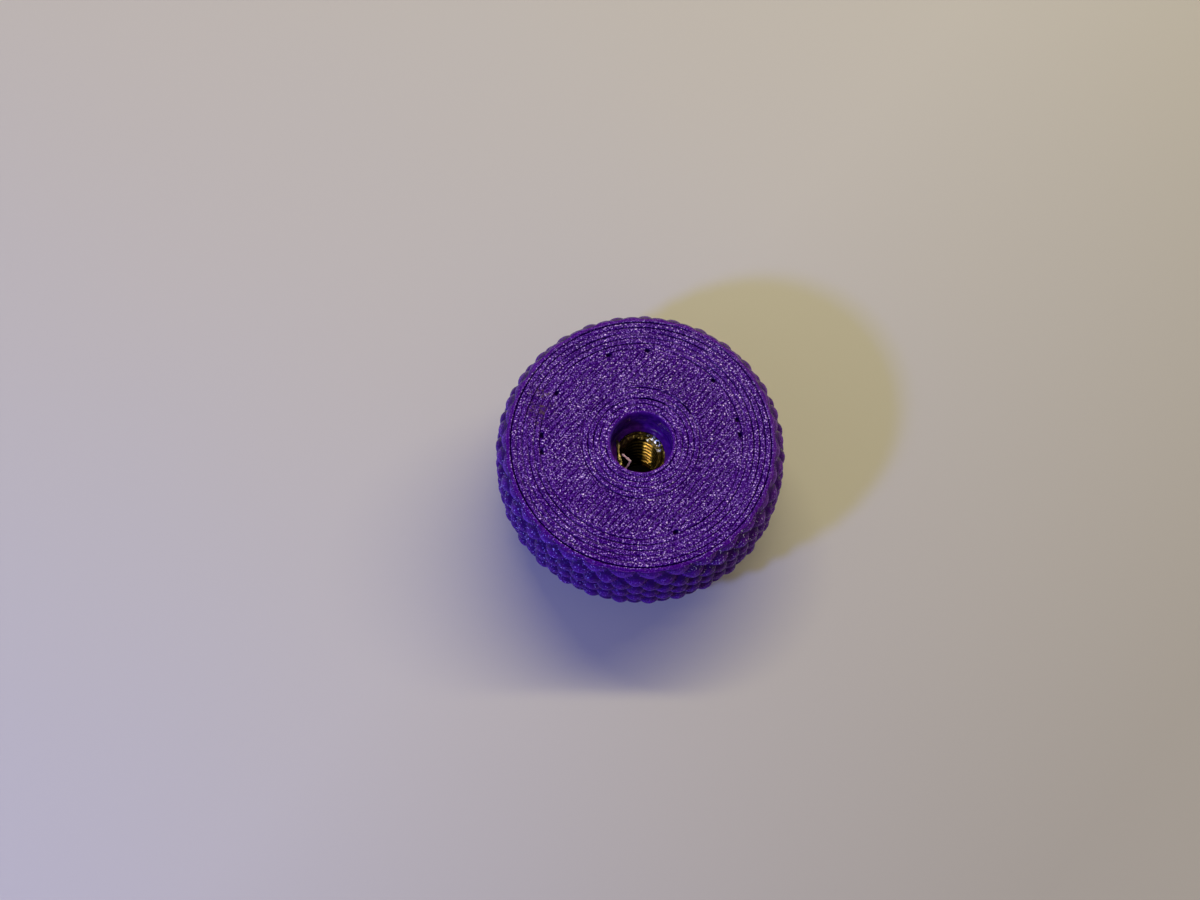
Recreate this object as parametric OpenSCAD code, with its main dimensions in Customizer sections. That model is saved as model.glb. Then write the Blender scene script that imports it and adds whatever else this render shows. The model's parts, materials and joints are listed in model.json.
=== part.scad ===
// Air cleaner nut: a printed hand knob with a brass thread insert, made to screw down
// on the 1/4-20 stud of a carburettor air cleaner.
//
// The origin is on the axis at the underside of the boss, where the nut bears on the
// air cleaner lid. +Z is the axis and points up to the flat round face. The first row
// of knurl crests has one on +X. All sizes are in millimetres.

/* [Knob] */
// Diameter over the knurl crests
knob_diameter = 40.4; // [38:0.1:60]
// Diameter of the flat round face, and of the groove bottoms in the knurl
face_diameter = 37.0; // [26:0.1:39.8]
// Diamonds around the knob
knurl_count = 30; // [16:2:48]
// Height of one diamond along the axis
knurl_height = 3.175; // [2:0.005:6]
// Diamonds up the knob, from one end of the band to the other
knurl_rows = 4; // [2:1:8]
// Swell of a diamond: 1 is a pyramid, 2 is a round dome
knurl_swell = 2.2; // [1:0.1:3]
// Depth of the first row of crests under the face
first_crest = 0.53; // [0:0.01:1.5]
// Height of the cone that trims the knurl under the face
face_cone = 2.9; // [0.8:0.1:4]
// Height of the cone that trims the knurl at the foot of the band
foot_cone = 2.1; // [0.8:0.1:4]

/* [Boss] */
// Diameter of the plain boss under the knurled band
boss_diameter = 24; // [14:0.5:34]
// Height of the boss
boss_height = 5.1; // [1:0.1:10]
// Chamfer on the lower edge of the boss
boss_chamfer = 0.5; // [0.2:0.1:1.5]

/* [Bore] */
// Diameter of the open bore above the insert
bore_diameter = 8.7; // [7.2:0.1:12]
// Depth of the open bore, from the face to the ledge
bore_depth = 4.75; // [2:0.05:8]
// Width and depth of the worn lip where the bore meets the face
lip = 0.4; // [0.2:0.05:1]
// Diameter of the ledge of plastic that laps over the end of the insert
ledge_diameter = 7.0; // [6.8:0.05:8]

/* [Insert] */
// Length of the insert
insert_length = 12.7; // [6:0.1:16]
// Diameter of the two gripping bands of the insert
insert_diameter = 9.2; // [8:0.1:11]
// Diameter of the pilot at the upper end of the insert
pilot_diameter = 7.8; // [7.4:0.1:8.2]
// Length of the pilot
pilot_length = 1.6; // [0.8:0.1:3]
// Diameter of the groove between the gripping bands
groove_diameter = 8.2; // [7.4:0.1:9]
// Width of the groove between the gripping bands
groove_width = 1.5; // [0.8:0.1:3]
// Minor diameter of the 1/4-20 thread, the bore a stud's thread roots clear
thread_minor = 5.1; // [4.98:0.01:5.26]
// Diameter of the countersink at each mouth of the thread
thread_mouth = 6.6; // [6.4:0.1:7]

/* [Hidden] */
$fn = 96;
eps = 0.01;
band_height = knurl_rows * knurl_height;
knob_height = boss_height + band_height;
ledge_z = knob_height - bore_depth;
insert_top = insert_length;
mouth_depth = (thread_mouth - thread_minor) / 2;
groove_z = (insert_length - pilot_length - groove_width) / 2;
crest_radius = knob_diameter / 2;
face_radius = face_diameter / 2;
steps = 6;                      // mesh steps across a diamond, both ways
around = knurl_count * steps;
rows = knurl_rows * steps;
step_height = knurl_height / steps;

knob_color = [0.29, 0.16, 0.60];
brass_color = [0.72, 0.56, 0.26];

// 0 on the line between two grooves and 1 in the bottom of a groove
function groove(turn) = abs(2 * (turn - round(turn)));

// Steps from the first row of crests up to step j of the band
function above_crest(j) = j - rows + first_crest / step_height;

// Radius left by the cones that trim both ends of the band, at step j up the band
function cone_radius(j) =
    face_radius + (crest_radius - face_radius)
        * min(j * step_height / foot_cone, (rows - j) * step_height / face_cone);

// Radius of the knurl where the two families of grooves cross at step i around and j up
function knurl_radius(i, j) =
    let (dip = max(groove((i + above_crest(j)) / steps), groove((i - above_crest(j)) / steps)))
    min(cone_radius(j), crest_radius - (crest_radius - face_radius) * pow(dip, knurl_swell));

// Number of the mesh point at step i around and j up
function spot(i, j) = j * around + (i % around);

// The two triangles of one mesh cell, split along the groove that runs nearest
function cell(i, j) =
    groove((i + above_crest(j) + 1) / steps) > groove((i - above_crest(j)) / steps)
        ? [[spot(i, j), spot(i, j + 1), spot(i + 1, j)],
           [spot(i + 1, j), spot(i, j + 1), spot(i + 1, j + 1)]]
        : [[spot(i, j), spot(i, j + 1), spot(i + 1, j + 1)],
           [spot(i, j), spot(i + 1, j + 1), spot(i + 1, j)]];

// Diamond knurled band, standing on z = 0
module knurled_band() {
    points = [for (j = [0:rows], i = [0:around - 1])
        let (r = knurl_radius(i, j), a = 360 * i / around)
        [r * cos(a), r * sin(a), j * step_height]];
    sides = [for (j = [0:rows - 1], i = [0:around - 1], face = cell(i, j)) face];
    foot = [for (i = [0:around - 1]) spot(i, 0)];
    top = [for (i = [around - 1:-1:0]) spot(i, rows)];
    polyhedron(points = points, faces = concat(sides, [foot, top]));
}

// Outside of the insert, which is also the pocket it sits in
module insert_shape() {
    cylinder(h = groove_z, d = insert_diameter);
    translate([0, 0, groove_z])
        cylinder(h = groove_width, d = groove_diameter);
    translate([0, 0, groove_z + groove_width])
        cylinder(h = insert_length - pilot_length - groove_z - groove_width, d = insert_diameter);
    translate([0, 0, insert_length - pilot_length])
        cylinder(h = pilot_length, d = pilot_diameter);
}

// Open bore with its worn lip, and the opening left by the ledge
module face_bore() {
    translate([0, 0, ledge_z])
        cylinder(h = bore_depth + 1, d = bore_diameter);
    translate([0, 0, knob_height - lip])
        cylinder(h = lip + eps, d1 = bore_diameter, d2 = bore_diameter + 2 * (lip + eps));
    translate([0, 0, insert_top - eps])
        cylinder(h = ledge_z - insert_top + 2 * eps, d = ledge_diameter);
}

// Printed knob: knurled band, boss and bore
module knob_body() {
    color(knob_color)
    difference() {
        union() {
            translate([0, 0, boss_height]) knurled_band();
            cylinder(h = boss_chamfer, d1 = boss_diameter - 2 * boss_chamfer, d2 = boss_diameter);
            translate([0, 0, boss_chamfer])
                cylinder(h = boss_height, d = boss_diameter);
        }
        insert_shape();
        face_bore();
    }
}

// Brass insert with a through thread, drawn at the thread's minor diameter
module threaded_insert() {
    color(brass_color)
    difference() {
        insert_shape();
        translate([0, 0, -1])
            cylinder(h = insert_length + 2, d = thread_minor);
        translate([0, 0, -eps])
            cylinder(h = mouth_depth + eps, d1 = thread_mouth + 2 * eps, d2 = thread_minor);
        translate([0, 0, insert_length - mouth_depth])
            cylinder(h = mouth_depth + eps, d1 = thread_minor, d2 = thread_mouth + 2 * eps);
    }
}

knob_body();
threaded_insert();
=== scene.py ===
"""Air cleaner nut: a printed purple hand knob round a brass thread insert.

The knob is spun from its half section, the way a print is built up: rings and infill lines on the
flat face, one ridge for each printed layer on the knurled band, and a bore whose wall has melted
smooth. The insert is turned brass with a real helical thread.
"""

import json
import logging
import math
from dataclasses import dataclass, field
from enum import Enum

import bpy
import numpy as np
from mathutils import Matrix, Vector


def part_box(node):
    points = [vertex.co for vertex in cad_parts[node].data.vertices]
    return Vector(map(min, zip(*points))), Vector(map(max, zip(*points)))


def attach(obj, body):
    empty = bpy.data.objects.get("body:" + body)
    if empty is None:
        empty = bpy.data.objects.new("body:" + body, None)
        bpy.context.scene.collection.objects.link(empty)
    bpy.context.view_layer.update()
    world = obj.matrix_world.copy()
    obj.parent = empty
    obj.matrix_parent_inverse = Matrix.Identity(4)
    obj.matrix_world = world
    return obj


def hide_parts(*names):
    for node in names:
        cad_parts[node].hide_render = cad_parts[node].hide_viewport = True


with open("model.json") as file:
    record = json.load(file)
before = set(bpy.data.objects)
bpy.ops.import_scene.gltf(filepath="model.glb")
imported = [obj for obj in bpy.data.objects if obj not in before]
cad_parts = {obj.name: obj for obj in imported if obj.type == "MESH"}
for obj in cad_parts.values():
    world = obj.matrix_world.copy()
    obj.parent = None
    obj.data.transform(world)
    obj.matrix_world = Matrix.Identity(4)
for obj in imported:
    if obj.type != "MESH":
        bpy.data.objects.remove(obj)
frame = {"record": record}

log = logging.getLogger("air_cleaner_nut")

MM = 0.001
TURN = 2 * math.pi
PAINTED_SHADE_LAYER = "painted_scale_shade"  # the point attribute that holds each scale's painted shade and painted highlight
SAME_POINT = 1e-7  # points of one spin nearer than this are the same
WELD = 1e-6  # points of joined parts nearer than this are the same
LEAST = 0.01 * MM  # less than any step between two corners of a section
LUMP_SIZES = (0.4, 1.0)  # least and greatest height of one wave of a ripple
MIX_A, MIX_B, MIX_RESULT = 6, 7, 2  # places of a Mix node's colour sockets
WAVE_BAND = math.pi / 10  # distance between the bands of a wave node at scale 1

Array = np.ndarray
Piece = bpy.types.Object
Range = tuple[float, float]
Section = list[Range]
Triple = tuple[float, float, float]
Colour = tuple[float, float, float]
Shades = tuple[tuple[float, Colour], ...]


# --------------------------------------------------------------------------- small tools


def mount(name: str) -> dict:
    """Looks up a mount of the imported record, whose dims are in millimetres."""
    return next(entry for entry in frame["record"]["mounts"] if entry["name"] == name)


def clear_selection() -> None:
    """Leaves object mode ready, with nothing selected."""
    if bpy.context.object and bpy.context.object.mode != "OBJECT":
        bpy.ops.object.mode_set(mode="OBJECT")
    bpy.ops.object.select_all(action="DESELECT")


def pick(*pieces: Piece) -> None:
    """Selects pieces alone and makes the last one active.

    Args:
        *pieces: The pieces to select.
    """
    clear_selection()
    for piece in pieces:
        piece.select_set(True)
        bpy.context.view_layer.objects.active = piece


def spin_section(
    name: str, section: Section, steps: int, closed: bool, merge: bool = True
) -> Piece:
    """Turns a half section into a solid of revolution about the Z axis.

    Args:
        name: Name of the new object.
        section: Radius and height of each corner, in metres.
        steps: Number of faces round the axis.
        closed: Whether the last corner joins the first.
        merge: Whether the last copy of the section is merged with the first.

    Returns:
        The spun object, whose points run copy by copy in the order of the section.
    """
    clear_selection()
    bpy.ops.mesh.primitive_circle_add(vertices=len(section), radius=section[0][0])
    piece = bpy.context.object
    piece.name = piece.data.name = name
    for corner, (radius, height) in zip(piece.data.vertices, section):
        corner.co = (radius, 0.0, height)
    bpy.ops.object.mode_set(mode="EDIT")
    if not closed:
        bpy.ops.mesh.select_all(action="DESELECT")
        bpy.ops.object.mode_set(mode="OBJECT")
        last = len(section) - 1
        for edge in piece.data.edges:
            edge.select = sorted(edge.vertices) == [0, last]
        bpy.ops.object.mode_set(mode="EDIT")
        bpy.ops.mesh.select_mode(type="EDGE")
        bpy.ops.mesh.delete(type="EDGE")
        bpy.ops.mesh.select_mode(type="VERT")
    bpy.ops.mesh.select_all(action="SELECT")
    bpy.ops.mesh.spin(steps=steps, angle=TURN, center=(0, 0, 0), axis=(0, 0, 1), use_auto_merge=False)
    if merge:
        bpy.ops.mesh.select_all(action="SELECT")
        bpy.ops.mesh.remove_doubles(threshold=SAME_POINT)
    bpy.ops.object.mode_set(mode="OBJECT")
    return piece


def face_outwards(piece: Piece, merge: float = SAME_POINT) -> None:
    """Merges doubles and turns every face of a closed mesh outwards.

    Args:
        piece: The mesh object.
        merge: Distance under which points are merged, in metres.
    """
    pick(piece)
    bpy.ops.object.mode_set(mode="EDIT")
    bpy.ops.mesh.select_all(action="SELECT")
    bpy.ops.mesh.remove_doubles(threshold=merge)
    bpy.ops.mesh.normals_make_consistent(inside=False)
    bpy.ops.object.mode_set(mode="OBJECT")


def smooth(piece: Piece, degrees: float) -> None:
    """Shades a piece smooth, apart from edges sharper than an angle."""
    pick(piece)
    bpy.ops.object.shade_smooth_by_angle(angle=math.radians(degrees))


def points_of(piece: Piece) -> Array:
    """Reads a piece's mesh points.

    Args:
        piece: The mesh object.

    Returns:
        An array of x, y, z rows.
    """
    flat = np.empty(len(piece.data.vertices) * 3)
    piece.data.vertices.foreach_get("co", flat)
    return flat.reshape(-1, 3)


def move_points(piece: Piece, points: Array) -> None:
    """Writes an array of x, y, z rows back to a piece's mesh."""
    piece.data.vertices.foreach_set("co", points.ravel())
    piece.data.update()


def round_axis(points: Array) -> tuple[Array, Array]:
    """Returns each point's distance from the Z axis and its angle round it, in radians."""
    return np.hypot(points[:, 0], points[:, 1]), np.arctan2(points[:, 1], points[:, 0])


def degrees_from(angle: Array, middle: float) -> Array:
    """Returns how far angles in radians are from a direction in degrees, from -180 to 180."""
    return (np.degrees(angle) - middle + 180) % 360 - 180


@dataclass(frozen=True)
class Lobe:
    """A smooth lump in one direction: its height, and its middle and reach in degrees."""

    height: float
    middle: float
    reach: float
    power: int = 2

    def at(self, angle: Array) -> Array:
        """Gives the lump's height at each angle, in radians."""
        return self.height * np.exp(-((degrees_from(angle, self.middle) / self.reach) ** self.power))


@dataclass(frozen=True)
class Ripple:
    """A smooth wobble round the axis, the same on each run, with up to so many lumps in a turn."""

    height: float
    seed: int
    lumps: int

    def at(self, angle: Array) -> Array:
        """Gives the wobble, mostly within its height either way.

        Args:
            angle: Angle of each point, in radians.

        Returns:
            The wobble at each point.
        """
        draw = np.random.default_rng(self.seed)
        total = np.zeros_like(angle)
        for lump in range(1, self.lumps + 1):
            total += np.sin(lump * angle + draw.uniform(0, TURN)) * draw.uniform(*LUMP_SIZES)
        return self.height * total / math.sqrt(self.lumps)


# --------------------------------------------------------------------------- finishes


class Sheet:
    """The nodes of a new material or world, with short calls to add and join them."""

    def __init__(self, name: str, shader: str = "Principled BSDF", coordinates: str = "Object") -> None:
        """Starts a material, or a world if its shader is Background.

        Args:
            name: Name of the material or world.
            shader: Name of the shader node that it starts with.
            coordinates: Which output of the coordinates node the patterns read.
        """
        made = bpy.data.worlds if shader == "Background" else bpy.data.materials
        self.made = made.new(name)
        self.made.use_nodes = True
        self.tree = self.made.node_tree
        self.shader = self.tree.nodes[shader]
        self.place = self.node("TexCoord").outputs[coordinates]

    def node(self, kind: str, **settings: object) -> bpy.types.Node:
        """Adds a node.

        Args:
            kind: The node type's name without its ShaderNode prefix.
            **settings: Properties to set on the node.

        Returns:
            The new node.
        """
        made = self.tree.nodes.new("ShaderNode" + kind)
        for key, value in settings.items():
            setattr(made, key, value)
        return made

    def join(self, source: object, target: object) -> None:
        """Links a node's output, or its first output, to a socket."""
        output = source.outputs[0] if isinstance(source, bpy.types.Node) else source
        self.tree.links.new(output, target)

    def noise(self, size: float, detail: float = 2.0, rough: float = 0.5) -> object:
        """Adds a noise pattern.

        Args:
            size: Size of its grain, in metres.
            detail: Number of finer patterns on top.
            rough: Strength of each finer pattern against the one before.

        Returns:
            The value output.
        """
        made = self.node("TexNoise")
        made.inputs["Scale"].default_value = 1.0 / size
        made.inputs["Detail"].default_value = detail
        made.inputs["Roughness"].default_value = rough
        self.join(self.place, made.inputs["Vector"])
        return made.outputs["Fac"]

    def band(self, value: object, low: float, high: float, to: Range = (0.0, 1.0)) -> object:
        """Adds a clamped map from one range to another.

        Args:
            value: Output to map.
            low: Value that becomes the start of the new range.
            high: Value that becomes its end.
            to: Start and end of the new range.

        Returns:
            The output that holds the mapped value.
        """
        made = self.node("MapRange")
        for name, number in zip(("From Min", "From Max", "To Min", "To Max"), (low, high, *to)):
            made.inputs[name].default_value = number
        self.join(value, made.inputs["Value"])
        return made.outputs["Result"]

    def stray(self, value: object, middle: float, most: Range) -> object:
        """Adds a map from 0..1 to a number and how far it strays each way, and returns its output."""
        return self.band(value, 0.0, 1.0, to=(middle + most[0], middle + most[1]))

    def math(self, how: str, a: object, b: object) -> object:
        """Adds a math node on two values.

        Args:
            how: The node's operation.
            a: First value, a socket or a number.
            b: Second value, a socket or a number.

        Returns:
            The output that holds the answer.
        """
        made = self.node("Math", operation=how)
        for socket, value in zip(made.inputs, (a, b)):
            if isinstance(value, (int, float)):
                socket.default_value = value
            else:
                self.join(value, socket)
        return made.outputs["Value"]

    def mix(self, share: object, a: object, b: object) -> object:
        """Adds a colour mix.

        Args:
            share: Output that holds the share of the second colour.
            a: First colour, a socket or an RGB triple.
            b: Second colour, a socket or an RGB triple.

        Returns:
            The colour output.
        """
        made = self.node("Mix", data_type="RGBA")
        self.join(share, made.inputs["Factor"])
        for socket, value in ((made.inputs[MIX_A], a), (made.inputs[MIX_B], b)):
            if isinstance(value, tuple):
                socket.default_value = (*value, 1.0)
            else:
                self.join(value, socket)
        return made.outputs[MIX_RESULT]

    def height_and_radius(self) -> tuple[object, object]:
        """Adds nodes for a point's height and its distance from the Z axis.

        Returns:
            The outputs that hold the height and the distance.
        """
        split = self.node("SeparateXYZ")
        self.join(self.place, split.inputs[0])
        across = self.math("MULTIPLY", split.outputs["X"], split.outputs["X"])
        along = self.math("MULTIPLY", split.outputs["Y"], split.outputs["Y"])
        return split.outputs["Z"], self.math("POWER", self.math("ADD", across, along), 0.5)

    def along(self, direction: Triple) -> object:
        """Adds a place's distance along a direction.

        Args:
            direction: The direction, one unit long.

        Returns:
            The output that holds the distance.
        """
        made = self.node("VectorMath", operation="DOT_PRODUCT")
        made.inputs[1].default_value = direction
        self.join(self.place, made.inputs[0])
        return made.outputs["Value"]

    def towards(self, side: float, spread: Range) -> object:
        """Adds the share to which a place lies on one side of the axis.

        Args:
            side: The side's direction, in degrees.
            spread: Cosines of the angle from it at which the share is 0 and 1.

        Returns:
            The output that holds the share.
        """
        turn = math.radians(side)
        across = self.along((math.cos(turn), math.sin(turn), 0.0))
        return self.band(self.math("DIVIDE", across, self.height_and_radius()[1]), *spread)

    def ramp(self, value: object, stops: Shades) -> object:
        """Adds a colour ramp and returns its colour output.

        Args:
            value: Output that picks the colour.
            stops: Place from 0 to 1 and RGB colour of each stop, in order.

        Returns:
            The colour output.
        """
        made = self.node("ValToRGB")
        elements = made.color_ramp.elements
        for index, (place, colour) in enumerate(stops):
            stop = elements[index] if index < len(elements) else elements.new(place)
            stop.position = place
            stop.color = (*colour, 1.0)
        self.join(value, made.inputs["Fac"])
        return made.outputs["Color"]

    def bump(self, height: object, distance: float, strength: object, under: object = None) -> object:
        """Adds a bump and returns its normal output.

        Args:
            height: Output that holds the height, from 0 to 1.
            distance: Real height of a step from 0 to 1, in metres.
            strength: Share of the bump that shows, a number or a socket.
            under: Normal output of a coarser bump below this one, if any.

        Returns:
            The normal output.
        """
        made = self.node("Bump")
        made.inputs["Distance"].default_value = distance
        if isinstance(strength, float):
            made.inputs["Strength"].default_value = strength
        else:
            self.join(strength, made.inputs["Strength"])
        self.join(height, made.inputs["Height"])
        if under is not None:
            self.join(under, made.inputs["Normal"])
        return made.outputs["Normal"]

    def set(self, **values: object) -> None:
        """Sets the shader's own sockets.

        Args:
            **values: Number or RGB triple for each socket, named with underscores for spaces.
        """
        for key, value in values.items():
            socket = self.shader.inputs[key.replace("_", " ")]
            socket.default_value = (*value, 1.0) if isinstance(value, tuple) else value

    def dress(self, colour: object, normal: object, rough: object) -> bpy.types.Material:
        """Joins what a finish has worked out to the shader.

        Args:
            colour: Output of the base colour.
            normal: Output of the bumps.
            rough: Output of the roughness.

        Returns:
            The finished material.
        """
        for name, output in (("Base Color", colour), ("Normal", normal), ("Roughness", rough)):
            self.join(output, self.shader.inputs[name])
        return self.made


SATIN_SHADES = (
    (0.36, (0.047, 0.001, 0.170)),
    (0.58, (0.090, 0.003, 0.284)),
    (0.76, (0.210, 0.075, 0.540)),
)
# the bore wall's tones: the melted wall's own deeper purple, made darker still as painted shade inside the
# hole
BORE_SHADES = ((0.34, (0.030, 0.001, 0.100)), (0.66, (0.062, 0.005, 0.170)))
# tones of the face's grit, whose two palest stops are painted glints
GRIT_SHADES_WITH_PAINTED_GLINTS = (
    (0.37, (0.008, 0.000, 0.050)),
    (0.46, (0.036, 0.001, 0.142)),
    (0.55, (0.064, 0.005, 0.215)),
    (0.63, (0.190, 0.080, 0.400)),
    (0.74, (0.950, 0.780, 1.000)),
)


EVEN = (0.0, 0.01)  # a grit range that all of the grain is above


@dataclass(frozen=True)
class PaintedGlints:
    """Painted glints: bright flecks painted on the side of the print where a lamp would catch it, or an even
    painted glow where the grit's range is EVEN.

    The side is in degrees, its spread is as Sheet.towards takes it, and the heights are in metres.
    """

    colour: Colour
    side: float
    spread: Range
    heights: Range
    grit: Range = (0.66, 0.72)


@dataclass(frozen=True)
class Smudge:
    """Brown specks of dirt rubbed into the left of the face. Lengths are in metres."""

    middle: Triple = (-14.2 * MM, 4.6 * MM, 17.8 * MM)
    reach: Range = (2.6 * MM, 4.5 * MM)
    fade: Range = (0.0, 0.5)
    speck: float = 0.7 * MM
    specks: Range = (0.53, 0.66)
    colour: Colour = (0.085, 0.045, 0.055)

    def rub(self, sheet: Sheet, under: object) -> object:
        """Rubs the specks into a colour.

        Args:
            sheet: The material's nodes.
            under: Colour output to dirty.

        Returns:
            The dirtied colour output.
        """
        shift = sheet.node("Mapping", vector_type="POINT")
        shift.inputs["Location"].default_value = tuple(-c for c in self.middle)
        sheet.join(sheet.place, shift.inputs["Vector"])
        stretch = sheet.node("VectorMath", operation="MULTIPLY")
        stretch.inputs[1].default_value = (1 / self.reach[0], 1 / self.reach[1], 0.0)
        sheet.join(shift, stretch.inputs[0])
        away = sheet.node("VectorMath", operation="LENGTH")
        sheet.join(stretch, away.inputs[0])
        near = sheet.band(sheet.math("SUBTRACT", 1.0, away.outputs["Value"]), *self.fade)
        specks = sheet.band(sheet.noise(self.speck, detail=3.0, rough=0.7), *self.specks)
        return sheet.mix(sheet.math("MULTIPLY", near, specks), under, self.colour)


@dataclass(frozen=True)
class PrintedPlastic:
    """Purple printed plastic, with the grit and sheen of one side of the print, and its painted shade,
    painted highlights and painted glints.
    """

    name: str
    shades: Shades = SATIN_SHADES
    grain: float = 0.21 * MM
    grain_detail: float = 1.0
    grain_rough: float = 0.65
    grain_depth: float = 0.012 * MM
    cloud: float = 6 * MM
    drift: float = 0.08
    roughness: float = 0.30
    uneven: Range = (-0.05, 0.07)
    gloss: float = 0.35
    refraction: float = 1.46
    sheen_tint: Colour = (1.0, 1.0, 1.0)
    layer: float = 0.0
    layer_depth: float = 0.05 * MM
    layer_strength: float = 0.8
    # colour of the painted shade in the face's grooves and between the band's scales
    gap: Colour = (0.006, 0.000, 0.034)
    painted_groove_shade_heights: Range = (0.0, 0.0)
    # colour of the painted highlight along each scale's lower rim
    rim: Colour = (0.130, 0.021, 0.420)
    painted_glints: tuple[PaintedGlints, ...] = ()
    painted_shade_layer: str = ""
    smudge: Smudge | None = None

    def build(self) -> bpy.types.Material:
        """Makes the material.

        Returns:
            The finished material.
        """
        sheet = Sheet(self.name)
        grit = sheet.noise(self.grain, detail=self.grain_detail, rough=self.grain_rough)
        cloud = sheet.noise(self.cloud, detail=3.0)
        normal = sheet.bump(grit, self.grain_depth, 1.0)
        if self.layer:
            normal = sheet.bump(self.layers(sheet), self.layer_depth, self.layer_strength, normal)
        rough = sheet.stray(cloud, self.roughness, self.uneven)
        sheet.set(IOR=self.refraction, Specular_IOR_Level=self.gloss, Specular_Tint=self.sheen_tint)
        return sheet.dress(self.colour(sheet, grit, cloud), normal, rough)

    def colour(self, sheet: Sheet, grit: object, cloud: object) -> object:
        """Adds the plastic's colour, with painted shade in its gaps, painted shade and highlight on the
        scales, painted glints and dirt.

        Args:
            sheet: The material's nodes.
            grit: Output of the fine grain.
            cloud: Output of the slow change over the print.

        Returns:
            The colour output.
        """
        drift = sheet.math("MULTIPLY", sheet.math("SUBTRACT", cloud, 0.5), self.drift)
        colour = sheet.ramp(sheet.math("ADD", grit, drift), self.shades)
        height = sheet.height_and_radius()[0]
        # painted shade in the bottoms of the face's grooves
        if any(self.painted_groove_shade_heights):
            colour = sheet.mix(sheet.band(height, *self.painted_groove_shade_heights), self.gap, colour)
        # painted shade and painted highlight, read from the band's attribute
        if self.painted_shade_layer:
            painted_shade = sheet.node("Attribute", attribute_name=self.painted_shade_layer).outputs["Fac"]
            colour = sheet.mix(sheet.band(painted_shade, 0.0, 1.0), colour, self.gap)
            colour = sheet.mix(sheet.band(painted_shade, 0.0, -1.0), colour, self.rim)
        # painted glints, and the bore's painted glow
        for painted_glints in self.painted_glints:
            share = sheet.math(
                "MULTIPLY", sheet.band(grit, *painted_glints.grit), sheet.band(height, *painted_glints.heights)
            )
            share = sheet.math("MULTIPLY", share, sheet.towards(painted_glints.side, painted_glints.spread))
            colour = sheet.mix(share, colour, painted_glints.colour)
        return self.smudge.rub(sheet, colour) if self.smudge else colour

    def layers(self, sheet: Sheet) -> object:
        """Adds the fine ridges of the printed layers.

        Args:
            sheet: The material's nodes.

        Returns:
            The output that holds their height.
        """
        wave = sheet.node("TexWave", wave_type="BANDS", bands_direction="Z", wave_profile="SIN")
        wave.inputs["Scale"].default_value = WAVE_BAND / self.layer
        wave.inputs["Distortion"].default_value = 0.0
        sheet.join(sheet.place, wave.inputs["Vector"])
        return wave.outputs["Fac"]


@dataclass(frozen=True)
class TurnedBrass:
    """Brass with a fine grain, tarnish and small lumps at the mouth, with a painted highlight on one side of
    the thread, painted shade in its roots and painted sparkles on one side of the mouth. Lengths are in
    metres.
    """

    name: str
    bright: Colour = (1.00, 0.56, 0.09)
    dull: Colour = (0.15, 0.10, 0.026)
    tarnish: Colour = (0.026, 0.017, 0.003)
    stain: float = 1.3 * MM
    dulled: Range = (0.48, 0.72)
    tarnished: Range = (0.44, 0.58)
    roughness: float = 0.16
    uneven: Range = (-0.06, 0.16)
    thread_roughness: float = 0.20
    # painted highlight: the thread is bright on this side and tarnish elsewhere
    painted_highlight_side: float = 64
    painted_highlight_spread: Range = (0.950, 0.985)
    # painted shade in the roots of the thread, between these radii
    painted_root_shade_radii: Range = (2.59 * MM, 2.76 * MM)
    bore_radii: Range = (3.25 * MM, 3.45 * MM)
    mouth_heights: Range = (11.2 * MM, 11.5 * MM)
    lump: float = 0.40 * MM
    lump_depth: float = 0.20 * MM
    lumps_below: float = 0.3
    grain: float = 0.12 * MM
    grain_depth: float = 0.006 * MM
    grain_strength: float = 0.6
    # colour of the pale patches that carry painted sparkles on one side of the mouth
    pale: Colour = (0.98, 0.95, 0.88)
    painted_sparkle_side: float = 42
    painted_sparkle_spread: Range = (0.84, 0.95)
    painted_sparkle_lumps: Range = (0.58, 0.63)

    def build(self) -> bpy.types.Material:
        """Makes the material.

        Returns:
            The finished material.
        """
        sheet = Sheet(self.name)
        stain = sheet.noise(self.stain, detail=4.0, rough=0.6)
        lumps = sheet.noise(self.lump, detail=1.0)
        grain = sheet.noise(self.grain)
        height, radius = sheet.height_and_radius()
        mouth = sheet.band(height, *self.mouth_heights)
        bright = sheet.mix(sheet.band(stain, *self.dulled), self.bright, self.dull)
        worn = sheet.mix(sheet.band(stain, *self.tarnished), self.dull, self.tarnish)
        # painted highlight on one side of the thread, tarnish on the rest
        painted_highlight = sheet.towards(self.painted_highlight_side, self.painted_highlight_spread)
        inside = sheet.mix(painted_highlight, self.tarnish, bright)
        # painted shade in the roots of the thread
        inside = sheet.mix(sheet.band(radius, *self.painted_root_shade_radii), inside, self.tarnish)
        colour = sheet.mix(sheet.band(radius, *self.bore_radii), inside, worn)
        # painted sparkles: pale patches on one side of the mouth
        pale = sheet.towards(self.painted_sparkle_side, self.painted_sparkle_spread)
        pale = sheet.math("MULTIPLY", pale, sheet.band(lumps, *self.painted_sparkle_lumps))
        colour = sheet.mix(mouth, colour, sheet.mix(pale, worn, self.pale))
        more = sheet.math("MULTIPLY", mouth, 1 - self.lumps_below)
        under = sheet.bump(lumps, self.lump_depth, sheet.math("ADD", more, self.lumps_below))
        normal = sheet.bump(grain, self.grain_depth, self.grain_strength, under)
        rough = sheet.stray(stain, self.roughness, self.uneven)
        in_thread = sheet.band(radius, *self.bore_radii[::-1])
        in_thread = sheet.math("MULTIPLY", in_thread, self.thread_roughness)
        sheet.set(Metallic=1.0)
        return sheet.dress(colour, normal, sheet.math("ADD", rough, in_thread))


class Side(Enum):
    """The sides of the print, each with its own finish; the value is the material slot's place."""

    FACE = 0
    BAND = 1
    BORE = 2
    UNDER = 3


# --------------------------------------------------------------------------- the knob


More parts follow.
